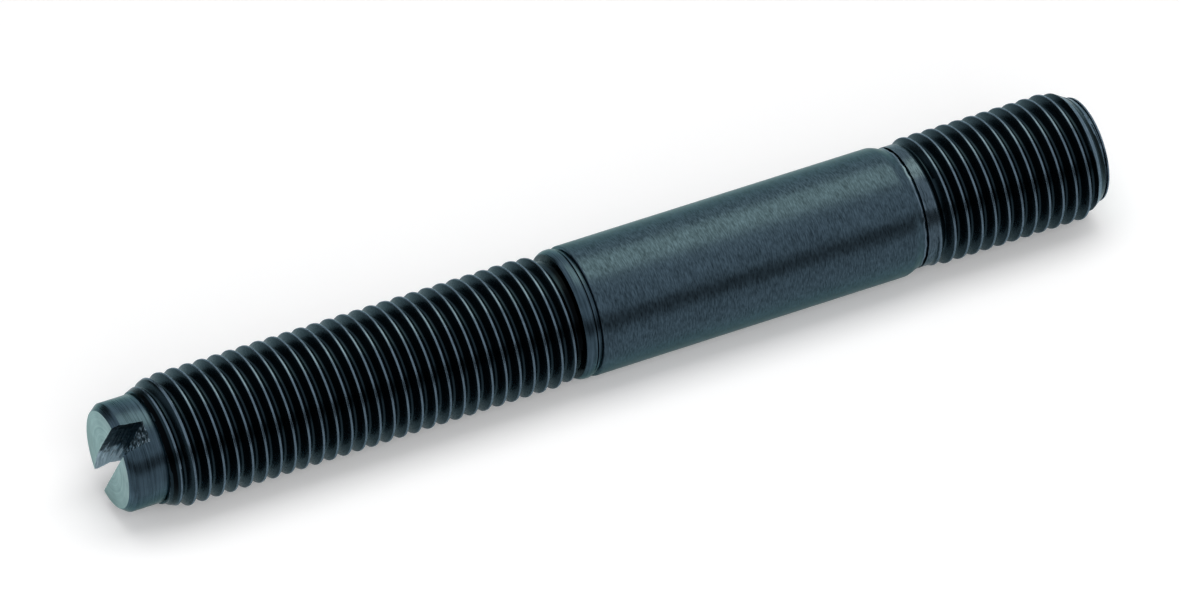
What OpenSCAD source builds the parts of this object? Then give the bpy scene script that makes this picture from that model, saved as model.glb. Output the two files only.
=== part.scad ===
// Double-ended stud, turned from one steel bar: a slotted pilot, a long thread, a plain shank
// and a short thread. It stands on the end face of the short thread, with the slot on top.

/* [Thread] */
// Nominal diameter of both threads and of the shank between them
thread_d = 22; // [18:0.5:36]
// Rise of the right-hand thread in one turn
pitch = 2.5; // [1.5:0.25:3]
// How far the crests stay under the nominal diameter
crest_drop = 0.15; // [0:0.01:0.3]
// Length over which the last turns sink into the relief groove beside the shank
run_out_len = 1.2; // [0.8:0.1:6]
// Length of the cone that leads the thread in from the pilot
lead_in_len = 3.8; // [2:0.2:6]
// Length of the chamfer at the foot of the short thread
foot_chamfer_len = 4; // [2:0.2:6]
// How far the foot's rim lies below the thread's root
foot_drop = 0.5; // [0:0.1:1.5]

/* [Lengths] */
// Short threaded end, from the foot to the shank
short_end = 34.7; // [24:0.1:80]
// Plain shank with its rounded lower edge
shank_len = 59; // [10:0.5:200]
// Long threaded end, from the shank to the pilot
long_end = 76.4; // [30:0.1:250]
// Pilot above the long thread
pilot_len = 6.6; // [5.8:0.1:12]

/* [Shank] */
// Length of the rounding at the shank's lower edge
shoulder_len = 1.4; // [0.5:0.1:3]
// Depth of that rounding
shoulder_depth = 1.1; // [0.3:0.05:1.4]
// Length from the shank to the relief groove of the long thread: tool groove and land
land_len = 2.9; // [2.7:0.1:5]
// How far the land lies below the shank
land_drop = 0.1; // [0.05:0.01:0.3]
// Length of the land's chamfer towards the thread
land_chamfer_len = 1; // [0.4:0.1:1.1]
// How far the chamfer's low edge lies below the shank
land_low_drop = 0.5; // [0.4:0.05:1]
// Width of the tool groove between the land and the shank
groove_w = 1.2; // [0.4:0.05:1.5]
// Depth of the tool groove
groove_depth = 0.35; // [0.3:0.05:0.6]
// Width of the relief groove beside each thread
relief_w = 0.45; // [0.3:0.05:1.2]
// How far the relief groove lies below the thread's root
relief_drop = 0.25; // [0.2:0.05:0.6]
// Plain neck of the short thread, up to its relief groove
neck_len = 2; // [0.5:0.1:5]
// How far the neck lies below the crests
neck_drop = 0.6; // [0.4:0.05:0.8]

/* [Pilot] */
// How far the pilot lies below the thread's root
pilot_drop = 0.3; // [0.25:0.05:1.5]
// Length of the pilot's chamfer
pilot_chamfer_len = 1.1; // [0.4:0.1:2]
// Depth of the pilot's chamfer
pilot_chamfer_depth = 0.9; // [0.4:0.1:2]
// Width of the screwdriver slot at its mouth
slot_w = 5; // [3.6:0.1:7]
// Width of the slot at its floor
slot_floor_w = 3.5; // [2:0.1:3.6]
// Depth of the slot
slot_depth = 4.85; // [2:0.05:5.3]

/* [Hidden] */
// Straight steps in one turn of the thread
TURN_STEPS = 24;
// Sides of the plain turned stretches
ROUND_SIDES = 96;
// Half of the thread's 60 degree angle
FLANK_ANGLE = 30;
// Depth and crest width of the thread, in pitches
DEPTH_SHARE = 0.6134;
CREST_SHARE = 1 / 8;
// Angles about the axis at which the crest passes the lower end of each thread
SHORT_START = 260;
LONG_START = 333;
// Angle between two points of the shank's rounding
ROUND_STEP = 30;
// How far a plain piece reaches into the threaded piece beside it
OVERLAP = 1;
// A point of the thread nearer than this to an end face lies on it
SNAP = 0.03;
// Turns of the strip that start below a threaded rod, and all its turns beyond the rod's length
TURNS_BELOW = 2;
TURNS_BEYOND = 5;

steel = "#343b42";
shank_r = thread_d / 2;
crest_r = (thread_d - crest_drop) / 2;
thread_depth = DEPTH_SHARE * pitch;
root_r = crest_r - thread_depth;
relief_r = root_r - relief_drop;
neck_r = crest_r - neck_drop;
foot_r = root_r - foot_drop;
pilot_r = root_r - pilot_drop;
crest_flat = CREST_SHARE * pitch;
flank_len = thread_depth * tan(FLANK_ANGLE);
root_flat = pitch - crest_flat - 2 * flank_len;

shank_z = short_end;
land_z = shank_z + shank_len;
pilot_z = land_z + long_end;
top_z = pilot_z + pilot_len;
short_top_z = shank_z - relief_w;
long_foot_z = land_z + land_len + relief_w;

// One pitch of the thread, as [height from the middle of the crest, radius]
tooth = [
    [-crest_flat / 2 - flank_len - root_flat, root_r],
    [-crest_flat / 2 - flank_len, root_r],
    [-crest_flat / 2, crest_r],
    [crest_flat / 2, crest_r],
];

function within_one(t) = min(1, max(0, t));

// Radius at height z, faded to the plain radius of each end.
// An end is [plain radius, plain length, length of the fade].
function faded_r(z, full_r, foot_z, head_z, foot, head) =
    let (
        from_foot = within_one((z - foot_z - foot[1]) / foot[2]),
        from_head = within_one((head_z - head[1] - z) / head[2])
    )
    from_foot < 1
        ? foot[0] + (full_r - foot[0]) * from_foot
        : head[0] + (full_r - head[0]) * from_head;

// Threaded rod between two flat ends. Its skin is one helical strip, whose points outside
// the two end planes are gathered on the rims of the end faces.
module threaded_rod(foot_z, head_z, foot, head, start) {
    n = TURN_STEPS;
    teeth = len(tooth);
    turns = ceil((head_z - foot_z) / pitch) + TURNS_BEYOND;
    first_z = foot_z - pitch * (TURNS_BELOW + start / 360);
    function height(k, j) = first_z + pitch * k / n + tooth[j][0];
    function point(k, j) =
        let (
            z = height(k, j),
            r = faded_r(z, tooth[j][1], foot_z, head_z, foot, head)
        )
        [r * cos(360 * k / n), r * sin(360 * k / n), z];
    function rim(r, z) = [for (i = [0 : n - 1]) [r * cos(360 * i / n), r * sin(360 * i / n), z]];
    function index(k, j) =
        height(k, j) <= foot_z + SNAP ? k % n
        : height(k, j) >= head_z - SNAP ? n + k % n
        : 2 * n + teeth * k + j;
    function above(k, j) = j < teeth - 1 ? index(k, j + 1) : index(k + n, 0);
    function triangle(a, b, c) = a == b || b == c || c == a ? [] : [[a, b, c]];

    skin = [
        for (k = [0 : turns * n - 1], j = [0 : teeth - 1])
            each concat(
                triangle(index(k, j), above(k, j), above(k + 1, j)),
                triangle(index(k, j), above(k + 1, j), index(k + 1, j))
            )
    ];
    polyhedron(
        points = concat(
            rim(foot[0], foot_z),
            rim(head[0], head_z),
            [for (k = [0 : turns * n], j = [0 : teeth - 1]) point(k, j)]
        ),
        faces = concat(
            [[for (i = [0 : n - 1]) i]],
            [[for (i = [n - 1 : -1 : 0]) n + i]],
            skin
        )
    );
}

module short_thread() {
    threaded_rod(
        0, short_top_z,
        [foot_r, 0, foot_chamfer_len],
        [neck_r, neck_len, pitch],
        SHORT_START
    );
}

module long_thread() {
    threaded_rod(
        long_foot_z, pilot_z,
        [root_r, 0, run_out_len],
        [root_r, 0, lead_in_len],
        LONG_START
    );
}

// Shank with its rounded lower edge, the relief groove below it, and above it the tool groove,
// the land and the other relief groove
module shank() {
    rounding = [
        for (a = [0 : ROUND_STEP : 90])
            [
                shank_r - shoulder_depth * (1 - sin(a)),
                shank_z + shoulder_len * (1 - cos(a)),
            ]
    ];
    rotate_extrude($fn = ROUND_SIDES)
        polygon([
            [0, short_top_z - OVERLAP],
            [relief_r, short_top_z - OVERLAP],
            [relief_r, shank_z],
            each rounding,
            [shank_r, land_z],
            [shank_r - groove_depth, land_z],
            [shank_r - groove_depth, land_z + groove_w],
            [shank_r - land_drop, land_z + groove_w],
            [shank_r - land_drop, land_z + land_len - land_chamfer_len],
            [shank_r - land_low_drop, land_z + land_len],
            [relief_r, land_z + land_len],
            [relief_r, long_foot_z + OVERLAP],
            [0, long_foot_z + OVERLAP],
        ]);
}

module slot() {
    flare = (slot_w - slot_floor_w) / 2;
    rotate([90, 0, 0])
        linear_extrude(thread_d, center = true)
            polygon([
                [-slot_floor_w / 2, top_z - slot_depth],
                [slot_floor_w / 2, top_z - slot_depth],
                [slot_w / 2 + flare, top_z + slot_depth],
                [-slot_w / 2 - flare, top_z + slot_depth],
            ]);
}

module pilot() {
    difference() {
        rotate_extrude($fn = ROUND_SIDES)
            polygon([
                [0, pilot_z - OVERLAP],
                [pilot_r, pilot_z - OVERLAP],
                [pilot_r, top_z - pilot_chamfer_len],
                [pilot_r - pilot_chamfer_depth, top_z],
                [0, top_z],
            ]);
        slot();
    }
}

module stud() {
    color(steel) {
        short_thread();
        shank();
        long_thread();
        pilot();
    }
}

stud();
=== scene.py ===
"""Double-ended stud of blackened steel: its dressed mesh, the studio round it and the camera.

The stud stands on its short thread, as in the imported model. The floor, the lamps and the camera
are turned about it, so that the picture shows it lying with its slotted pilot to the left.
"""

from __future__ import annotations

import logging
import math
from collections.abc import Iterable
from dataclasses import dataclass, field
from enum import Enum
from typing import Any

import bmesh
import bpy
from bmesh.types import BMEdge, BMesh, BMFace, BMVert
from mathutils import Matrix, Vector, noise


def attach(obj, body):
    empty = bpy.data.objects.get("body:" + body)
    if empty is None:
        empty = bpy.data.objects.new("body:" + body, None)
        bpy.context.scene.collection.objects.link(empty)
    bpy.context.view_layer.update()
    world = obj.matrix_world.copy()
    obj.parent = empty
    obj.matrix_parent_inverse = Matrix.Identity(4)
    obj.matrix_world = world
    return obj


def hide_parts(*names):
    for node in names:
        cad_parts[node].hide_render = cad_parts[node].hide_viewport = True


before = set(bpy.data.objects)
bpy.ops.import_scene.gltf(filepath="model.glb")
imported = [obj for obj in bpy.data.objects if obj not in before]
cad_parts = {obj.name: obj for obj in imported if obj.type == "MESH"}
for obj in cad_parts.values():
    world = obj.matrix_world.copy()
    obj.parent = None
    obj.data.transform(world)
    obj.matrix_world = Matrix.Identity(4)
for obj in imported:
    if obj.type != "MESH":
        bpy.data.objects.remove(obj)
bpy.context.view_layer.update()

log = logging.getLogger("stud")

# Lengths in this script are millimetres, and the finished meshes are scaled to metres.
MM = 0.001
# Points nearer than this are one point
WELD = 0.002
# Name of the point attribute that says how deep in the thread's groove a point lies; depths beyond
# the thread's own stand for painted shade
GROOVE = "groove_depth"
# Groove depth that stands for near-black painted shade, beyond the depth of the thread
PAINTED_SHADE_DEPTH = 2.2
# Octaves of the noise that draws marks and clouds, and the range that holds most of its values
NOISE_DETAIL = 3.0
NOISE_LOW = 0.25
NOISE_HIGH = 0.75
# Strength of the finer octaves of the tool's marks
MARK_FINENESS = 0.6
# Places of the two colours, and of the result, on a node that mixes colours
FIRST_COLOUR = 6
SECOND_COLOUR = 7
MIXED_COLOUR = 2

# Points of an outline, as two lengths each
Outline = tuple[tuple[float, float], ...]


def linear(colour: str) -> tuple[float, float, float, float]:
    """Turns an sRGB hex colour to linear light.

    Args:
        colour: Colour written as #rrggbb.

    Returns:
        Red, green, blue and an alpha of 1.
    """
    shares = [int(colour[i : i + 2], 16) / 255 for i in (1, 3, 5)]
    red, green, blue = (
        s / 12.92 if s <= 0.04045 else ((s + 0.055) / 1.055) ** 2.4 for s in shares
    )
    return red, green, blue, 1.0


def add_node(
    tree: bpy.types.NodeTree,
    kind: str,
    inputs: dict[str | int, Any] | None = None,
    **settings: Any,
) -> bpy.types.Node:
    """Adds a node with its settings and links.

    Args:
        tree: Node tree that takes the node.
        kind: Node's type, without the ShaderNode that all of them start with.
        inputs: What goes into each socket, by name or place: another node's socket or a value.
        settings: The node's own settings.

    Returns:
        The node.
    """
    node = tree.nodes.new("ShaderNode" + kind)
    for name, value in settings.items():
        setattr(node, name, value)
    for place, value in (inputs or {}).items():
        if isinstance(value, bpy.types.NodeSocket):
            tree.links.new(value, node.inputs[place])
        else:
            node.inputs[place].default_value = value
    return node


def within(low: float, value: float, high: float) -> float:
    """Returns the value, held between the two limits."""
    return max(low, min(value, high))


def as_object(name: str, mesh: BMesh) -> bpy.types.Object:
    """Makes an object of a finished bmesh and frees the bmesh.

    Args:
        name: Name of the object and its mesh.
        mesh: Finished mesh, in metres.

    Returns:
        The object, linked to the scene, at the origin.
    """
    data = bpy.data.meshes.new(name)
    mesh.to_mesh(data)
    mesh.free()
    made = bpy.data.objects.new(name, data)
    bpy.context.scene.collection.objects.link(made)
    return made


class Marks(Enum):
    """Which way the tool's marks run on a surface."""

    AROUND = "around the axis"
    RINGS = "in rings on an end face"
    ALONG_SLOT = "along the slot"


@dataclass(frozen=True)
class OxideFinish:
    """Black-oxide steel, dipped and oiled, over the marks that a tool left in the bar.

    The oxide is a thin dark blue-green skin with a satin gloss. Light runs along the tool's
    marks, and the skin is paler where it is thin.
    """

    name: str
    # The skin where it is whole, and where it is thin
    colour: str
    pale_colour: str
    # Mean roughness, and how far it swings with the marks
    roughness: float
    roughness_swing: float
    # Way, width, length and depth of the tool's marks
    marks: Marks
    mark_width: float
    mark_length: float
    mark_depth: float
    # How much of the skin is pale
    pale_share: float = 0.5
    # Size of the dip's clouds, and how much they count
    mottle_size: float = 2.5
    mottle_weight: float = 0.4
    # Rise of the marks and the cloud over which the skin turns from dark to pale
    fade: float = 0.6
    # Colour that the metal turns to where it is seen at a low angle
    edge_colour: str = "#d0e8e6"

    def place(self, tree: bpy.types.NodeTree) -> bpy.types.NodeSocket:
        """Gives the place on the piece, counted in widths and lengths of the tool's marks.

        Args:
            tree: Material's node tree.

        Returns:
            Vector socket for the marks' noise.
        """
        at = add_node(tree, "TexCoord").outputs["Object"]
        wide = 1 / (self.mark_width * MM)
        long = 1 / (self.mark_length * MM)
        if self.marks is Marks.RINGS:
            flat = add_node(tree, "VectorMath", {0: at, 1: (1, 1, 0)}, operation="MULTIPLY")
            out = add_node(tree, "VectorMath", {0: flat.outputs[0]}, operation="LENGTH")
            rings = add_node(
                tree, "Math", {0: out.outputs["Value"], 1: wide}, operation="MULTIPLY"
            )
            return add_node(tree, "CombineXYZ", {"X": rings.outputs[0]}).outputs[0]
        scale = (long, long, wide) if self.marks is Marks.AROUND else (wide, long, wide)
        return add_node(tree, "Mapping", {"Vector": at, "Scale": scale}).outputs[0]

    def mottle(self, tree: bpy.types.NodeTree) -> bpy.types.NodeSocket:
        """Lays a slow cloud over the piece, as the dip leaves it.

        Args:
            tree: Material's node tree.

        Returns:
            Value socket, about 0.5.
        """
        at = add_node(tree, "TexCoord").outputs["Object"]
        scale = 1 / (self.mottle_size * MM)
        cloud = add_node(tree, "TexNoise", {"Vector": at, "Scale": scale, "Detail": NOISE_DETAIL})
        weight = self.mottle_weight
        return add_node(
            tree,
            "Math",
            {0: cloud.outputs["Fac"], 1: weight, 2: 0.5 * (1 - weight)},
            operation="MULTIPLY_ADD",
        ).outputs[0]

    def skin(
        self, tree: bpy.types.NodeTree, marks: bpy.types.NodeSocket
    ) -> bpy.types.NodeSocket:
        """Colours the oxide: paler on the marks' ridges and where the dip was thin.

        Args:
            tree: Material's node tree.
            marks: Height of the tool's marks, about 0.5.

        Returns:
            Colour socket.
        """
        cloud = self.mottle(tree)
        both = add_node(tree, "Math", {0: marks, 1: cloud}, operation="ADD").outputs[0]
        low = 1.0 - self.pale_share
        share = add_node(
            tree,
            "MapRange",
            {"Value": both, "From Min": low, "From Max": low + self.fade},
        ).outputs[0]
        return add_node(
            tree,
            "Mix",
            {
                0: share,
                FIRST_COLOUR: linear(self.colour),
                SECOND_COLOUR: linear(self.pale_colour),
            },
            data_type="RGBA",
        ).outputs[MIXED_COLOUR]

    def material(self) -> bpy.types.Material:
        """Makes the material, with colour, roughness and bump from the marks.

        Returns:
            The material.
        """
        made = bpy.data.materials.new(self.name)
        made.use_nodes = True
        tree = made.node_tree
        tree.nodes.clear()
        marks = add_node(
            tree,
            "TexNoise",
            {
                "Vector": self.place(tree),
                "Scale": 1.0,
                "Detail": NOISE_DETAIL,
                "Roughness": MARK_FINENESS,
            },
        ).outputs["Fac"]
        gloss = add_node(
            tree,
            "MapRange",
            {
                "Value": marks,
                "From Min": NOISE_LOW,
                "From Max": NOISE_HIGH,
                "To Min": self.roughness - self.roughness_swing,
                "To Max": self.roughness + self.roughness_swing,
            },
        ).outputs[0]
        bump = add_node(
            tree,
            "Bump",
            {"Height": marks, "Strength": 1.0, "Distance": self.mark_depth * MM},
        ).outputs[0]
        shader = add_node(
            tree,
            "BsdfPrincipled",
            {
                "Base Color": self.skin(tree, marks),
                "Metallic": 1.0,
                "Roughness": gloss,
                "Specular Tint": linear(self.edge_colour),
                "Normal": bump,
            },
        )
        add_node(tree, "OutputMaterial", {"Surface": shader.outputs[0]})
        return made


@dataclass(frozen=True)
class ThreadFinish(OxideFinish):
    """Black-oxide steel on a cut thread.

    The crests are rubbed pale. The flanks keep the whole dark skin, and as they face each other
    they look nearly black. In the relief beside the land's wall and on the lead-in cones, away
    from their ridges, near-black painted shade is laid on.
    """

    flank_colour: str = "#1d2930"
    # Near-black painted shade, for the relief and the lead-in cones
    painted_shade_colour: str = "#06080a"
    # Depth, just beyond the thread's own, where the painted shade begins
    painted_shade_edge: float = 1.55
    # Depths in the groove where the rubbed crest ends and where the whole skin begins
    crest_edge: float = 0.11
    flank_edge: float = 0.16
    # How far those depths wander with the marks
    ragged: float = 0.12

    def skin(
        self, tree: bpy.types.NodeTree, marks: bpy.types.NodeSocket
    ) -> bpy.types.NodeSocket:
        """Colours the oxide by the depth in the groove, and lays painted shade beyond the thread's
        depth.

        Args:
            tree: Material's node tree.
            marks: Height of the tool's marks, about 0.5.

        Returns:
            Colour socket.
        """
        worn = super().skin(tree, marks)
        depth = add_node(tree, "Attribute", attribute_name=GROOVE).outputs["Fac"]
        edge = add_node(
            tree, "Math", {0: marks, 1: self.ragged, 2: depth}, operation="MULTIPLY_ADD"
        ).outputs[0]
        rubbed = add_node(
            tree,
            "MapRange",
            {"Value": edge, "From Min": self.flank_edge, "From Max": self.crest_edge},
        ).outputs[0]
        cut = add_node(
            tree,
            "Mix",
            {0: rubbed, FIRST_COLOUR: linear(self.flank_colour), SECOND_COLOUR: worn},
            data_type="RGBA",
        ).outputs[MIXED_COLOUR]
        # Painted shade where the groove depth goes beyond the thread's own
        painted_shade = add_node(
            tree,
            "MapRange",
            {"Value": depth, "From Min": self.painted_shade_edge, "From Max": PAINTED_SHADE_DEPTH},
        ).outputs[0]
        return add_node(
            tree,
            "Mix",
            {0: painted_shade, FIRST_COLOUR: cut, SECOND_COLOUR: linear(self.painted_shade_colour)},
            data_type="RGBA",
        ).outputs[MIXED_COLOUR]


@dataclass(frozen=True)
class SawnFinish(OxideFinish):
    """Black-oxide steel on a sawn wall.

    The wall is paler towards the slot's +Y end, and deep in the slot it is darkened with painted
    shade, black between the streaks.
    """

    # How much paler the skin gets with each millimetre along the slot, and up its wall, away from
    # the painted shade deep in the slot
    paler_along: float = 0.075
    paler_up: float = 0.03
    # Height on the wall where the skin is as pale as the finish says
    level_z: float = 174.5

    def mottle(self, tree: bpy.types.NodeTree) -> bpy.types.NodeSocket:
        """Adds the slope from black to bright to the dip's cloud, with painted shade deep in the
        slot.

        Args:
            tree: Material's node tree.

        Returns:
            Value socket, about 0.5 at the level height in the middle of the slot.
        """
        cloud = super().mottle(tree)
        at = add_node(tree, "TexCoord").outputs["Object"]
        # Paler towards +Y along the slot, with painted shade lower on the wall
        rise = (0, self.paler_along / MM, self.paler_up / MM)
        slope = add_node(tree, "VectorMath", {0: at, 1: rise}, operation="DOT_PRODUCT")
        lift = add_node(
            tree,
            "Math",
            {0: slope.outputs["Value"], 1: self.paler_up * self.level_z},
            operation="SUBTRACT",
        )
        return add_node(tree, "Math", {0: cloud, 1: lift.outputs[0]}, operation="ADD").outputs[0]


class Region(Enum):
    """The surfaces of the stud, by the tool that made them. The value is the material slot."""

    THREADED = 0
    GROUND = 1
    TURNED = 2
    FACED = 3
    SAWN = 4
    TORN = 5


# The real marks of turning, grinding and threading are about 0.02 to 0.1 mm wide, too fine to
# show in the picture, so they are drawn 0.2 to 0.5 mm wide.
FINISHES: dict[Region, OxideFinish] = {
    # Cut: the eye sees thin pale lines on the rubbed crests, between black grooves.
    Region.THREADED: ThreadFinish(
        name="black_oxide_steel_cut_thread",
        colour="#384751",
        pale_colour="#637685",
        roughness=0.27,
        roughness_swing=0.06,
        marks=Marks.AROUND,
        mark_width=0.22,
        mark_length=1.2,
        mark_depth=0.01,
        pale_share=0.4,
        edge_colour="#d8e8ec",
    ),
    # Ground: a fine short grain round the bar makes the shank an even satin blue-black, with one
    # broad soft band of light along it.
    Region.GROUND: OxideFinish(
        name="black_oxide_steel_ground",
        colour="#172229",
        pale_colour="#4e6270",
        roughness=0.33,
        roughness_swing=0.05,
        marks=Marks.AROUND,
        mark_width=0.22,
        mark_length=1.0,
        mark_depth=0.008,
        pale_share=0.3,
        mottle_weight=0.2,
    ),
    # Turned: long rings from the tool's feed give the land, the neck's notch and the pilot a
    # sharper gloss than the shank has.
    Region.TURNED: OxideFinish(
        name="black_oxide_steel_turned",
        colour="#1c2931",
        pale_colour="#4b5f6d",
        pale_share=0.3,
        roughness=0.28,
        roughness_swing=0.05,
        marks=Marks.AROUND,
        mark_width=0.24,
        mark_length=10.0,
        mark_depth=0.02,
    ),
    # Faced: the end faces are a paler grey-green, matt, with faint rings.
    Region.FACED: OxideFinish(
        name="black_oxide_steel_faced",
        colour="#60767a",
        pale_colour="#a6bbbc",
        roughness=0.36,
        roughness_swing=0.06,
        marks=Marks.RINGS,
        mark_width=0.5,
        mark_length=20.0,
        mark_depth=0.03,
        pale_share=0.3,
    ),
    # Sawn: bright streaks along the slot's walls, with black between them.
    Region.SAWN: SawnFinish(
        name="black_oxide_steel_sawn",
        colour="#0d1216",
        pale_colour="#aec4cf",
        roughness=0.34,
        roughness_swing=0.08,
        marks=Marks.ALONG_SLOT,
        mark_width=0.3,
        mark_length=4.0,
        mark_depth=0.1,
        pale_share=-0.05,
        mottle_size=1.2,
        fade=0.25,
        edge_colour="#d0e0e8",
    ),
    # Torn by the saw's teeth: the slot's floor is black, with small bright flecks.
    Region.TORN: OxideFinish(
        name="black_oxide_steel_torn",
        colour="#11171b",
        pale_colour="#93a5b2",
        roughness=0.36,
        roughness_swing=0.08,
        marks=Marks.ALONG_SLOT,
        mark_width=0.4,
        mark_length=1.2,
        mark_depth=0.15,
        pale_share=0.0,
        mottle_size=0.9,
        mottle_weight=1.0,
        fade=0.2,
        edge_colour="#d0e0e8",
    ),
}


@dataclass(frozen=True)
class ThreadForm:
    """One tooth of the thread, from the middle of its crest to the middle of a root."""

    pitch: float = 2.5
    crest_r: float = 10.925
    depth: float = 1.534
    # Steps in one turn of the screw
    steps: int = 96
    # Places along the half tooth, as distance from the crest's middle and drop below the crest
    half_tooth: Outline = (
        (0.0, 0.0),
        (0.11, 0.0),
        (0.15, 0.02),
        (0.185, 0.075),
        (0.3, 0.274),
        (0.42, 0.482),
        (0.575, 0.75),
        (0.938, 1.38),
        (1.05, 1.48),
        (1.25, 1.534),
    )
    # Half of the crest's width
    crest_half: float = 0.15
    # Distance along the axis in which a flank drops by a millimetre
    flank_run: float = 0.577
    # How far the cutter wandered, in and out, and over what length
    wander: float = 0.03
    wander_length: float = 2.6

    @property
    def root_r(self) -> float:
        """Returns the radius at the root."""
        return self.crest_r - self.depth

    def tooth(self) -> list[tuple[float, float]]:
        """Mirrors the half tooth to a whole one.

        Returns:
            Heights from the crest's middle and radii, rising.
        """
        rising = [(z, self.crest_r - drop) for z, drop in self.half_tooth]
        falling = [(-z, r) for z, r in reversed(rising[1:])]
        return falling + rising


class Stop(Enum):
    """How a thread stops at its end plane."""

    CONE = "the tooth is cut off by a cone"
    NECK = "the groove runs out on a plain neck"
    WALL = "the crests sink, and a relief parts them from a sloping wall"


@dataclass(frozen=True)
class ThreadEnd:
    """One end of a thread: its kind, its radius at the end plane and the lengths of its parts."""

    stop: Stop
    plain_r: float
    # Length of the plain neck or of the wall's slope
    plain_length: float
    # Length over which the cone, the run-out or the sinking reaches
    reach: float
    # Share of the tooth's height that is left where the sinking ends
    kept: float = 0.0
    # Groove depth that stands for a plain neck, which is half rubbed
    neck_depth: float = 0.075
    # Width of the rubbed strip on the inner side of a ridge that the cone cut, and the groove
    # depth gained with each millimetre beyond it, which turns the cone to painted shade
    rubbed: float = 10.0
    shade_gain: float = 4.0
    # Length of the relief beside a wall, share of the tooth's height that is left in it, and
    # length over which the tooth rises out of it
    relief: float = 0.0
    relief_kept: float = 0.15
    relief_rise: float = 0.6

    def shape(
        self, r: float, depth: float, inward: float, ahead: float, form: ThreadForm
    ) -> tuple[float, float]:
        """Shapes a point of the full thread near this end.

        Args:
            r: Radius of the point.
            depth: How deep in the groove the point lies.
            inward: Distance from the end plane into the thread.
            ahead: Distance from the middle of the nearest crest towards the end plane.
            form: The full thread.

        Returns:
            Radius and groove depth that the point keeps.
        """
        if self.stop is Stop.WALL:
            share = within(0.0, inward / self.reach, 1.0)
            clear = within(0.0, (inward - self.relief) / self.relief_rise, 1.0)
            left = self.relief_kept + (1 - self.relief_kept) * clear
            left *= self.kept + (1 - self.kept) * share
            sunk = form.root_r + (r - form.root_r) * left
            wall = self.plain_r - (self.plain_r - form.root_r) * inward / self.plain_length
            # The wall and the relief take the depth of the painted shade
            if wall > sunk or inward <= 0:
                return wall, PAINTED_SHADE_DEPTH
            return sunk, max(depth, PAINTED_SHADE_DEPTH * (1 - clear))
        share = within(0.0, (inward - self.plain_length) / self.reach, 1.0)
        if self.stop is Stop.NECK:
            depth = self.neck_depth + (depth - self.neck_depth) * share
            return self.plain_r + (r - self.plain_r) * share, depth
        cone = self.plain_r + (form.crest_r - self.plain_r) * share
        if cone >= r:
            return r, depth
        # Beyond the rubbed strip, the cone's surface turns to painted shade
        ridge = form.crest_half + (form.crest_r - cone) * form.flank_run
        return cone, self.shade_gain * max(0.0, ahead + ridge - self.rubbed)


@dataclass
class ScrewThread:
    """A right-hand thread between two end planes."""

    form: ThreadForm
    foot_z: float
    head_z: float
    foot: ThreadEnd
    head: ThreadEnd
    # Height of a crest on the +X side
    crest_z: float
    # Teeth beyond each end plane, whose points are gathered on it
    spare_teeth: int = 2

    def build(self, mesh: BMesh) -> None:
        """Screws one long row of teeth round the axis and shapes both ends.

        Args:
            mesh: Mesh that takes the thread. Its two end rings stay open.
        """
        pitch = self.form.pitch
        before = set(mesh.verts)
        first = math.floor((self.foot_z - self.crest_z) / pitch) - self.spare_teeth
        teeth = math.ceil((self.head_z - self.foot_z) / pitch) + 2 * self.spare_teeth
        start_z = self.crest_z + first * pitch
        verts = [mesh.verts.new((r, 0, start_z + z)) for z, r in self.form.tooth()]
        edges = [mesh.edges.new(pair) for pair in zip(verts, verts[1:])]
        bmesh.ops.spin(
            mesh,
            geom=verts + edges,
            axis=(0, 0, 1),
            dvec=(0, 0, pitch),
            angle=0,
            steps=teeth,
            use_duplicate=True,
        )
        row = [v for v in mesh.verts if v not in before]
        bmesh.ops.remove_doubles(mesh, verts=row, dist=WELD)
        row = [v for v in mesh.verts if v not in before]
        wire = list({e for v in row for e in v.link_edges})
        bmesh.ops.spin(
            mesh,
            geom=row + wire,
            axis=(0, 0, 1),
            dvec=(0, 0, pitch / self.form.steps),
            angle=math.tau,
            steps=self.form.steps,
        )
        skin = [v for v in mesh.verts if v not in before]
        groove = mesh.verts.layers.float[GROOVE]
        for vert in skin:
            vert[groove] = self.shape(vert)
        bmesh.ops.remove_doubles(mesh, verts=skin, dist=WELD)

    def shape(self, vert: BMVert) -> float:
        """Moves a point of the endless screw to where the end planes and the cutter leave it.

        Args:
            vert: The point.

        Returns:
            How deep in the groove the point lies.
        """
        z = within(self.foot_z, vert.co.z, self.head_z)
        full_r = math.hypot(vert.co.x, vert.co.y)
        turned = math.atan2(vert.co.y, vert.co.x) / math.tau
        teeth_up = (vert.co.z - self.crest_z) / self.form.pitch - turned
        ahead = (teeth_up - round(teeth_up)) * self.form.pitch
        r, depth = self.foot.shape(
            full_r, self.form.crest_r - full_r, z - self.foot_z, -ahead, self.form
        )
        r, depth = self.head.shape(r, depth, self.head_z - z, ahead, self.form)
        if self.foot_z < z < self.head_z:
            at = Vector((vert.co.x, vert.co.y, z)) / self.form.wander_length
            ease = within(0.0, 1 - depth / self.form.depth, 1.0)
            r += self.form.wander * noise.noise(at) * ease
        vert.co = (vert.co.x * r / full_r, vert.co.y * r / full_r, z)
        return depth


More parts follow.
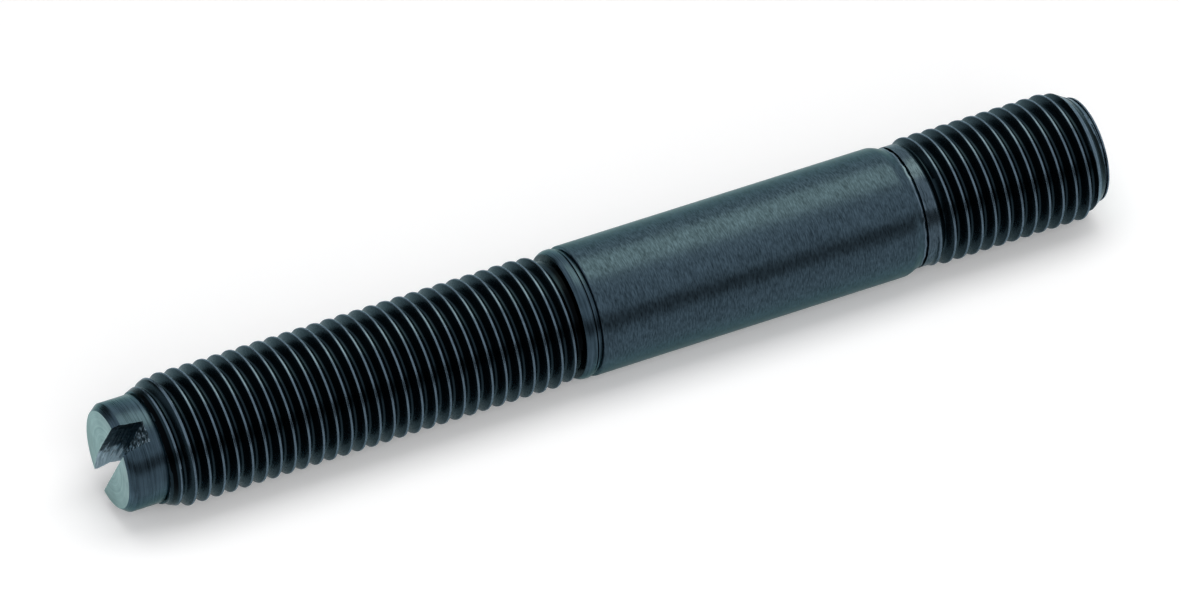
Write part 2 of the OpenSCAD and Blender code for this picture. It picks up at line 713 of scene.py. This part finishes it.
@dataclass
class SawnSlot:
    """The screwdriver slot, sawn across the pilot with a blade that left streaks and burrs."""

    mouth_w: float = 5.0
    floor_w: float = 3.5
    depth: float = 4.85
    # Length of the cut, and how far the cutting body reaches above the pilot
    length: float = 24.0
    above: float = 3.0
    # Cuts across the body's faces, which carry the marks
    across_cuts: int = 20
    along_cuts: int = 70
    down_cuts: int = 56
    # Streaks along the walls, with another draw on each wall
    streak_depth: float = 0.10
    streak_length: float = 7.0
    streak_width: float = 0.45
    wall_draw: float = 5.0
    # Chatter of the teeth: on the floor, fading out this high above it, and in part on the walls
    chatter_depth: float = 0.2
    chatter_size: float = 0.8
    chatter_height: float = 1.2
    chatter_on_walls: float = 0.3
    # Lip that stayed on one wall where the blade left the steel, and the place where it starts
    lip: float = 1.0
    lip_y: float = 3.0
    lip_length: float = 5.0
    lip_height: float = 3.0

    def cutter(self, top_z: float, wall_index: int, floor_index: int) -> bpy.types.Object:
        """Makes the body that the blade swept, with its marks on the walls and the floor.

        Args:
            top_z: Height of the pilot's end face.
            wall_index: Material slot of the walls.
            floor_index: Material slot of the floor.

        Returns:
            Object to cut with, in metres.
        """
        mesh = bmesh.new()
        height = self.depth + self.above
        floor_z = top_z - self.depth
        bmesh.ops.create_cube(mesh, size=1)
        bmesh.ops.scale(mesh, vec=(1, self.length, height), verts=mesh.verts)
        slope = (self.mouth_w - self.floor_w) / self.depth
        for vert in mesh.verts:
            up = vert.co.z + height / 2
            vert.co.x *= self.floor_w + slope * up
            vert.co.z = floor_z + up
        for axis, cuts in ((0, self.across_cuts), (1, self.along_cuts), (2, self.down_cuts)):
            runs = [e for e in mesh.edges if self.runs_along(e, axis)]
            bmesh.ops.subdivide_edges(mesh, edges=runs, cuts=cuts, use_grid_fill=True)
        for face in mesh.faces:
            on_floor = face.calc_center_median().z < floor_z + WELD
            face.material_index = floor_index if on_floor else wall_index
        for vert in mesh.verts:
            self.mark(vert, top_z)
        bmesh.ops.scale(mesh, vec=(MM, MM, MM), verts=mesh.verts)
        bmesh.ops.recalc_face_normals(mesh, faces=mesh.faces)
        return as_object("slot_cutter", mesh)

    def runs_along(self, edge: BMEdge, axis: int) -> bool:
        """Returns whether an edge runs mostly along the axis of that number."""
        step = edge.verts[1].co - edge.verts[0].co
        return max(range(3), key=lambda i: abs(step[i])) == axis

    def mark(self, vert: BMVert, top_z: float) -> None:
        """Pushes a point of a wall or the floor in or out by the blade's marks.

        Args:
            vert: Point of the cutting body, in millimetres.
            top_z: Height of the pilot's end face.
        """
        x, y, z = vert.co
        side = math.copysign(1.0, x)
        draw = side * self.wall_draw
        streak = noise.noise((draw, y / self.streak_length, z / self.streak_width))
        chatter = noise.noise(vert.co / self.chatter_size)
        floor_near = within(0.0, self.chatter_height - (z - top_z + self.depth), 1.0)
        on_wall = self.chatter_on_walls * self.chatter_depth * chatter
        vert.co.x += side * (self.streak_depth * streak + on_wall)
        vert.co.z += self.chatter_depth * chatter * floor_near
        if side > 0:
            far = within(0.0, (y - self.lip_y) / self.lip_length, 1.0)
            high = within(0.0, 1 + (z - top_z) / self.lip_height, 1.0)
            vert.co.x -= self.lip * far**2 * high


@dataclass
class Stud:
    """The stud, turned and threaded from one bar: foot, short thread, shank, long thread, pilot.

    Heights are counted from the foot's face. The outlines hold heights and radii in the order in
    which the turning tool passed them.
    """

    form: ThreadForm = field(default_factory=ThreadForm)
    slot: SawnSlot = field(default_factory=SawnSlot)
    # Lower end of the short thread, and the foot below it: rim groove, rounded edge and face
    rim_r: float = 8.95
    rim_z: float = 0.75
    foot_outline: Outline = (
        (0.69, 8.55),
        (0.45, 8.55),
        (0.37, 8.91),
        (0.31, 8.95),
        (0.12, 8.9),
        (0.03, 8.77),
        (0.0, 8.6),
        (0.0, 4.0),
        (0.0, 1.0),
    )
    # Plain neck at the upper end of the short thread
    neck_r: float = 10.325
    neck_z: float = 34.26
    # Lower edge of the shank: a lip with a ragged burr, and a notch down to the neck
    shank_z: float = 34.7
    lip_r: float = 10.22
    lip_length: float = 0.34
    burr: float = 0.12
    burr_mean: float = 0.5
    burr_size: float = 0.9
    burr_start: float = 0.03
    # From the lip to the neck, with heights above the shank's lower edge
    notch_outline: Outline = (
        (0.06, 10.22),
        (0.0, 10.14),
        (-0.08, 9.6),
        (-0.39, 9.6),
    )
    # Rounding above the lip
    shoulder_length: float = 2.2
    shoulder_depth: float = 0.8
    shoulder_steps: int = 7
    shoulder_bend: float = 1.5
    # Plain shank, and the height where its ground surface ends
    shank_r: float = 11.0
    shank_top_z: float = 93.5
    shank_rings: int = 16
    line_z: float = 93.7
    # Tool groove with a scored line on each side, with heights from the land's lower edge
    land_z: float = 94.9
    groove_outline: Outline = (
        (-0.1, 10.35),
        (-0.28, 10.35),
        (-0.4, 10.62),
        (-0.64, 10.62),
        (-0.76, 10.3),
        (-1.08, 10.3),
        (-1.2, 10.9),
        (-1.28, 10.97),
    )
    # Land and its chamfer, with heights from the lower end of the long thread
    wall_r: float = 10.45
    wall_z: float = 96.6
    land_outline: Outline = (
        (-0.08, 10.54),
        (-0.55, 10.8),
        (-0.9, 10.9),
        (-1.6, 10.92),
        (-1.7, 10.88),
    )
    # Pilot: black line, plain stretch, chamfer and face, with heights from its lower end
    pilot_z: float = 170.1
    top_z: float = 176.7
    pilot_outline: Outline = (
        (0.04, 8.79),
        (0.26, 8.79),
        (0.34, 9.05),
        (0.42, 9.09),
        (5.38, 9.09),
        (5.5, 9.04),
        (6.54, 8.25),
        (6.6, 8.16),
        (6.6, 4.0),
        (6.6, 1.0),
    )
    # A face within this radius belongs to an end face if its normal is this nearly axial
    face_r: float = 8.19
    axial: float = 0.9
    # Angle in degrees from which an edge is shaded sharp
    sharp_angle: float = 38.0

    def short_thread(self) -> ScrewThread:
        """Describes the short thread, chamfered at the foot, with a plain neck under the shank.

        Returns:
            The thread.
        """
        return ScrewThread(
            form=self.form,
            foot_z=self.rim_z,
            head_z=self.neck_z,
            foot=ThreadEnd(
                Stop.CONE, plain_r=self.rim_r, plain_length=0.0, reach=3.25, rubbed=1.1
            ),
            head=ThreadEnd(Stop.NECK, plain_r=self.neck_r, plain_length=1.6, reach=1.9),
            crest_z=0.695,
        )

    def long_thread(self) -> ScrewThread:
        """Describes the long thread, run into the land's wall and led in from the pilot.

        Returns:
            The thread.
        """
        return ScrewThread(
            form=self.form,
            foot_z=self.wall_z,
            head_z=self.pilot_z,
            foot=ThreadEnd(
                Stop.WALL,
                plain_r=self.wall_r,
                plain_length=0.3,
                reach=4.2,
                kept=0.6,
                relief=1.0,
            ),
            head=ThreadEnd(
                Stop.CONE, plain_r=self.form.root_r, plain_length=0.0, reach=3.7, rubbed=0.45
            ),
            crest_z=2.237,
        )

    def shoulder(self) -> list[tuple[float, float]]:
        """Rounds the shank's lower edge, from the plain shank down to the lip.

        Returns:
            Heights and radii of the outline.
        """
        shares = [i / self.shoulder_steps for i in range(self.shoulder_steps)]
        return [
            (
                self.shank_z + self.lip_length + self.shoulder_length * (1 - share),
                self.shank_r - self.shoulder_depth * share**self.shoulder_bend,
            )
            for share in shares
        ]

    def waist(self) -> list[tuple[float, float]]:
        """Follows the turning tool from the long thread down to the short one.

        Returns:
            Heights and radii of the outline.
        """
        lip_z = self.shank_z + self.lip_length
        step = (self.shank_top_z - lip_z - self.shoulder_length) / self.shank_rings
        return [
            *((self.wall_z + z, r) for z, r in self.land_outline),
            *((self.land_z + z, r) for z, r in self.groove_outline),
            *((self.shank_top_z - i * step, self.shank_r) for i in range(self.shank_rings)),
            *self.shoulder(),
            (lip_z, self.lip_r),
            *((self.shank_z + z, r) for z, r in self.notch_outline),
            (self.neck_z, self.neck_r),
        ]

    def nose(self) -> list[tuple[float, float]]:
        """Returns heights and radii of the outline from the long thread to the pilot's face."""
        return [(self.pilot_z + z, r) for z, r in self.pilot_outline]

    def open_ring(self, mesh: BMesh, z: float) -> list[BMEdge]:
        """Finds the open ring of edges at a height.

        Args:
            mesh: Mesh with open rings.
            z: Height of the ring.

        Returns:
            The ring's edges.
        """
        return [
            e
            for e in mesh.edges
            if e.is_boundary and all(abs(v.co.z - z) < WELD for v in e.verts)
        ]

    def turn(
        self, mesh: BMesh, ring: list[BMEdge], outline: Iterable[tuple[float, float]]
    ) -> list[BMEdge]:
        """Carries an open ring along a turned outline.

        Args:
            mesh: Mesh that has the ring.
            ring: Edges of the ring.
            outline: Heights and radii that the ring passes.

        Returns:
            Edges of the last ring.
        """
        groove = mesh.verts.layers.float[GROOVE]
        for z, r in outline:
            made = bmesh.ops.extrude_edge_only(mesh, edges=ring)["geom"]
            verts = [g for g in made if isinstance(g, BMVert)]
            for vert in verts:
                vert[groove] = 0.0
            ring = [g for g in made if isinstance(g, BMEdge) and g.is_boundary]
            at = verts[0].co
            spread = r / math.hypot(at.x, at.y)
            rise = z - at.z
            bmesh.ops.scale(mesh, vec=(spread, spread, 1), verts=verts)
            bmesh.ops.translate(mesh, vec=(0, 0, rise), verts=verts)
        return ring

    def roughen(self, mesh: BMesh) -> None:
        """Raises a ragged burr on the shank's lip, where the tool left the steel.

        Args:
            mesh: The stud's mesh, in millimetres.
        """
        start_z = self.shank_z + self.burr_start
        for vert in mesh.verts:
            if start_z < vert.co.z < start_z + self.lip_length:
                lift = self.burr * (self.burr_mean + noise.noise(vert.co / self.burr_size))
                out = Vector((vert.co.x, vert.co.y, 0)).normalized()
                vert.co += (out + Vector((0, 0, -1))) * lift

    def build(self) -> bpy.types.Object:
        """Threads, turns and closes the stud.

        Returns:
            The stud as one closed mesh in metres, before its slot is sawn.
        """
        mesh = bmesh.new()
        mesh.verts.layers.float.new(GROOVE)
        self.long_thread().build(mesh)
        self.short_thread().build(mesh)
        self.turn(mesh, self.open_ring(mesh, self.wall_z), self.waist())
        for z, outline in ((self.pilot_z, self.nose()), (self.rim_z, self.foot_outline)):
            last = self.turn(mesh, self.open_ring(mesh, z), outline)
            bmesh.ops.contextual_create(mesh, geom=last)
        self.roughen(mesh)
        bmesh.ops.remove_doubles(mesh, verts=mesh.verts, dist=WELD)
        bmesh.ops.recalc_face_normals(mesh, faces=mesh.faces)
        for face in mesh.faces:
            face.material_index = self.region(face).value
            face.smooth = True
        bmesh.ops.scale(mesh, vec=(MM, MM, MM), verts=mesh.verts)
        return as_object("stud_body", mesh)

    def region(self, face: BMFace) -> Region:
        """Names the finish of a face by where it lies.

        Args:
            face: Face of the mesh, in millimetres.

        Returns:
            The region.
        """
        at = face.calc_center_median()
        out = math.hypot(at.x, at.y)
        flat = abs(face.normal.z) > self.axial
        if flat and out < self.face_r and not self.rim_z < at.z < self.pilot_z:
            return Region.FACED
        if self.shank_z + self.lip_length < at.z < self.line_z:
            return Region.GROUND
        # The foot's edge and the shank's lip are rubbed pale as the crests are, and that pale
        # colour also paints the bright highlight line along each.
        if at.z < self.neck_z or self.shank_z < at.z < self.line_z:
            return Region.THREADED
        if self.wall_z < at.z < self.pilot_z:
            return Region.THREADED
        return Region.TURNED

    def saw(self, body: bpy.types.Object) -> None:
        """Cuts the slot into the finished body.

        Args:
            body: The stud's object, which keeps its materials.
        """
        cutter = self.slot.cutter(self.top_z, Region.SAWN.value, Region.TORN.value)
        for material in body.data.materials:
            cutter.data.materials.append(material)
        cut = body.modifiers.new("slot", "BOOLEAN")
        cut.operation = "DIFFERENCE"
        cut.solver = "EXACT"
        cut.material_mode = "INDEX"
        cut.object = cutter
        depsgraph = bpy.context.evaluated_depsgraph_get()
        sawn = bpy.data.meshes.new_from_object(body.evaluated_get(depsgraph))
        body.modifiers.clear()
        body.data = sawn
        bpy.data.objects.remove(cutter)
        sawn.set_sharp_from_angle(angle=math.radians(self.sharp_angle))

    def dress(self, body: bpy.types.Object) -> None:
        """Gives each region of the body its finish, in the order of the regions."""
        for region in Region:
            body.data.materials.append(FINISHES[region].material())


@dataclass(frozen=True)
class PhotoCamera:
    """The camera, placed in the lying frame as the photographer stood."""

    azimuth: float = -26.45
    elevation: float = 39.7
    distance: float = 1830.0
    lens: float = 344.5
    # The picture's middle lies this far off the stud's axis, upwards in the picture
    lift: float = 1.64
    # Nearest and farthest distance that the camera shows
    near: float = 50.0
    far: float = 20000.0

    def build(self, lying: Matrix) -> bpy.types.Object:
        """Makes the scene's camera.

        Args:
            lying: Matrix from the lying frame to the model's frame.

        Returns:
            The camera.
        """
        turn = math.radians(self.azimuth)
        rise = math.radians(self.elevation)
        back = Vector(
            (
                math.sin(turn) * math.cos(rise),
                -math.cos(turn) * math.cos(rise),
                math.sin(rise),
            )
        )
        look = (-back).to_track_quat("-Z", "Y").to_matrix()
        sight = look.inverted() @ Vector((1, 0, 0))
        off_axis = look @ Vector((-sight.y, sight.x, 0)).normalized()
        data = bpy.data.cameras.new("photo_camera")
        data.lens = self.lens
        data.clip_start = self.near * MM
        data.clip_end = self.far * MM
        camera = bpy.data.objects.new("photo_camera", data)
        bpy.context.scene.collection.objects.link(camera)
        place = (back * self.distance + off_axis * self.lift) * MM
        camera.matrix_world = lying @ Matrix.Translation(place) @ look.to_4x4()
        bpy.context.scene.camera = camera
        return camera


@dataclass(frozen=True)
class SoftLamp:
    """A large even lamp, hung in the lying frame and turned about the stud's axis."""

    name: str
    colour: str
    # Brightness of its face, where 1 is white
    level: float
    width: float
    depth: float
    distance: float
    # Angle from straight above, positive towards the back
    lean: float
    # Shift along the stud, positive towards the short thread
    aside: float
    # Whether the steel mirrors the lamp. One that it doesn't mirror lights the floor.
    mirrored: bool

    def build(self, lying: Matrix) -> bpy.types.Object:
        """Hangs the lamp.

        Args:
            lying: Matrix from the lying frame to the model's frame.

        Returns:
            The lamp.
        """
        data = bpy.data.lights.new(self.name, "AREA")
        data.shape = "RECTANGLE"
        data.size = self.width * MM
        data.size_y = self.depth * MM
        data.color = linear(self.colour)[:3]
        data.energy = self.level * math.pi * data.size * data.size_y
        lamp = bpy.data.objects.new(self.name, data)
        bpy.context.scene.collection.objects.link(lamp)
        lean = Matrix.Rotation(math.radians(-self.lean), 4, "X")
        hang = Matrix.Translation((self.aside * MM, 0, self.distance * MM))
        lamp.matrix_world = lying @ lean @ hang
        lamp.visible_camera = False
        lamp.visible_glossy = self.mirrored
        lamp.visible_diffuse = not self.mirrored
        return lamp


# Above and a little behind: its light runs along the stud.
OVERHEAD_LAMP = SoftLamp(
    name="overhead_lamp",
    colour="#fff9d6",
    level=1.5,
    width=640.0,
    depth=450.0,
    distance=600.0,
    lean=17.0,
    aside=220.0,
    mirrored=True,
)

# Straight above: its soft shadow lies close round the stud.
CEILING_LAMP = SoftLamp(
    name="ceiling_lamp",
    colour="#ffffff",
    level=1.95,
    width=640.0,
    depth=450.0,
    distance=600.0,
    lean=0.0,
    aside=60.0,
    mirrored=False,
)

# In front: it lights the floor and lays soft shade behind the stud.
FRONT_LAMP = SoftLamp(
    name="front_lamp",
    colour="#ffffff",
    level=2.2,
    width=700.0,
    depth=600.0,
    distance=700.0,
    lean=-60.0,
    aside=-200.0,
    mirrored=False,
)


@dataclass(frozen=True)
class Studio:
    """White floor, pale room, large soft lamps, and glowing cards that only the steel's reflections
    see: painted reflections.
    """

    # Angle about the stud's axis at which the shank touches the floor
    contact_angle: float = 121.0
    # Height on the standing stud that lies in the picture's middle
    middle_z: float = 90.25
    shank_r: float = 11.0
    floor_size: float = 1600.0
    floor_colour: str = "#fafafa"
    # How much the floor is brightened where it is seen
    floor_glow: float = 0.13
    room_colour: str = "#f4f4f5"
    # Share of the room's brightness that falls on the floor
    room_share: float = 0.47
    lamps: tuple[SoftLamp, ...] = (OVERHEAD_LAMP, CEILING_LAMP, FRONT_LAMP)
    # The dark card stands in front: a glowing sheet seen only in reflections, a painted dark
    # reflection
    card_distance: float = 150.0
    card_height: float = 72.0
    card_width: float = 900.0
    dark_reflection_glow: float = 0.12
    # The grey card lies just above the floor, between the stud and the dark card: a painted
    # reflection of a pale, unshaded floor
    apron_start: float = 13.0
    apron_lift: float = 0.2
    pale_reflection_glow: float = 0.82
    # The back card stands behind the slotted end, where only its chamfer mirrors it: a painted dark
    # reflection
    back_distance: float = 300.0
    back_aside: float = -250.0
    back_width: float = 330.0
    back_height: float = 240.0

    def lying(self) -> Matrix:
        """Turns the lying frame, with Z up and the stud along X, to the model's frame.

        Returns:
            Matrix from the lying frame to the model's frame.
        """
        contact = math.radians(self.contact_angle)
        up = Vector((-math.cos(contact), -math.sin(contact), 0))
        along = Vector((0, 0, -1))
        turn = Matrix((along, up.cross(along), up)).transposed()
        return Matrix.Translation((0, 0, self.middle_z * MM)) @ turn.to_4x4()

    def seen(self, tree: bpy.types.NodeTree) -> bpy.types.NodeSocket:
        """Tells the rays that show a thing from those that only carry light.

        Args:
            tree: Node tree of a material or of the world.

        Returns:
            Socket that is 1 for camera, glossy and transmission rays.
        """
        ray = add_node(tree, "LightPath").outputs
        direct = add_node(
            tree, "Math", {0: ray["Is Camera Ray"], 1: ray["Is Glossy Ray"]}, operation="MAXIMUM"
        )
        return add_node(
            tree,
            "Math",
            {0: direct.outputs[0], 1: ray["Is Transmission Ray"]},
            operation="MAXIMUM",
        ).outputs[0]

    def floor_material(self) -> bpy.types.Material:
        """Makes matt white paper, which keeps the shadow and can be looked through from below.

        Returns:
            The material.
        """
        made = bpy.data.materials.new("matt_white_paper")
        made.use_nodes = True
        tree = made.node_tree
        tree.nodes.clear()
        glow = add_node(
            tree, "Math", {0: self.seen(tree), 1: self.floor_glow}, operation="MULTIPLY"
        )
        paper = add_node(tree, "BsdfDiffuse", {"Color": linear(self.floor_colour)})
        white = add_node(tree, "Emission", {"Strength": glow.outputs[0]})
        lit = add_node(tree, "AddShader", {0: paper.outputs[0], 1: white.outputs[0]})
        below = add_node(tree, "NewGeometry").outputs["Backfacing"]
        clear = add_node(tree, "BsdfTransparent")
        side = add_node(
            tree, "MixShader", {0: below, 1: lit.outputs[0], 2: clear.outputs[0]}
        )
        add_node(tree, "OutputMaterial", {"Surface": side.outputs[0]})
        return made

    def sheet(self, name: str, size: tuple[float, float], place: Matrix) -> bpy.types.Object:
        """Makes a flat sheet of the set.

        Args:
            name: Name of the object.
            size: Width and depth.
            place: Matrix of the sheet, in metres.

        Returns:
            The sheet.
        """
        mesh = bmesh.new()
        bmesh.ops.create_grid(mesh, x_segments=1, y_segments=1, size=0.5)
        bmesh.ops.scale(mesh, vec=(size[0] * MM, size[1] * MM, 1), verts=mesh.verts)
        made = as_object(name, mesh)
        made.matrix_world = place
        return made

    def build(self) -> None:
        """Lays the floor, sets the cards, hangs the lamps and lights the room."""
        lying = self.lying()
        drop = Matrix.Translation((0, 0, -self.shank_r * MM))
        floor = self.sheet("floor", (self.floor_size, self.floor_size), lying @ drop)
        floor.data.materials.append(self.floor_material())
        self.cards(lying)
        for lamp in self.lamps:
            lamp.build(lying)
        self.room()

    def room(self) -> None:
        """Makes the pale room, which the steel mirrors whole and which lights the floor in part."""
        world = bpy.data.worlds.new("pale_room")
        world.use_nodes = True
        tree = world.node_tree
        tree.nodes.clear()
        strength = add_node(
            tree, "MapRange", {"Value": self.seen(tree), "To Min": self.room_share}
        ).outputs[0]
        walls = add_node(
            tree, "Background", {"Color": linear(self.room_colour), "Strength": strength}
        )
        add_node(tree, "OutputWorld", {"Surface": walls.outputs[0]})
        bpy.context.scene.world = world

    def reflection_material(self, name: str, glow: float) -> bpy.types.Material:
        """Makes an evenly glowing sheet, which paints an even grey reflection.

        Args:
            name: Name of the material.
            glow: How bright the card is, where 1 is white.

        Returns:
            The material.
        """
        made = bpy.data.materials.new(name)
        made.use_nodes = True
        tree = made.node_tree
        tree.nodes.clear()
        grey = add_node(tree, "Emission", {"Strength": glow})
        add_node(tree, "OutputMaterial", {"Surface": grey.outputs[0]})
        return made

    def cards(self, lying: Matrix) -> None:
        """Sets the cards, painted reflections: a dark one standing in front, a grey one lying, a
        dark one behind.

        Args:
            lying: Matrix from the lying frame to the model's frame.
        """
        stand = Matrix.Translation(
            (0, -self.card_distance * MM, (self.card_height / 2 - self.shank_r) * MM)
        )
        upright = Matrix.Rotation(math.radians(90), 4, "X")
        dark = self.sheet(
            "dark_reflection_sheet", (self.card_width, self.card_height), lying @ stand @ upright
        )
        dark.data.materials.append(self.reflection_material("painted_dark_reflection", self.dark_reflection_glow))
        depth = self.card_distance - self.apron_start
        middle = (self.card_distance + self.apron_start) / 2
        lay = Matrix.Translation((0, -middle * MM, (self.apron_lift - self.shank_r) * MM))
        grey = self.sheet("pale_reflection_sheet", (self.card_width, depth), lying @ lay)
        grey.data.materials.append(self.reflection_material("painted_pale_reflection", self.pale_reflection_glow))
        stand = Matrix.Translation(
            (
                self.back_aside * MM,
                self.back_distance * MM,
                (self.back_height / 2 - self.shank_r) * MM,
            )
        )
        back = self.sheet(
            "back_reflection_sheet", (self.back_width, self.back_height), lying @ stand @ upright
        )
        back.data.materials.append(dark.data.materials[0])
        # The cards glow and are seen only in the steel's reflections, where they paint dark and
        # pale reflections
        for card in (dark, grey, back):
            card.visible_camera = False
            card.visible_diffuse = False
            card.visible_shadow = False


def main() -> None:
    """Builds the stud, its studio and its camera."""
    logging.basicConfig(level=logging.INFO, format="%(name)s: %(message)s")
    stud = Stud()
    body = stud.build()
    stud.dress(body)
    stud.saw(body)
    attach(body, "root")
    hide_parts("stud")
    log.info("%s: %d faces", body.name, len(body.data.polygons))

    studio = Studio()
    studio.build()
    PhotoCamera().build(studio.lying())
    log.info("studio and camera are in place")
    bpy.context.scene.view_settings.view_transform = "Standard"


if __name__ == "__main__":
    main()
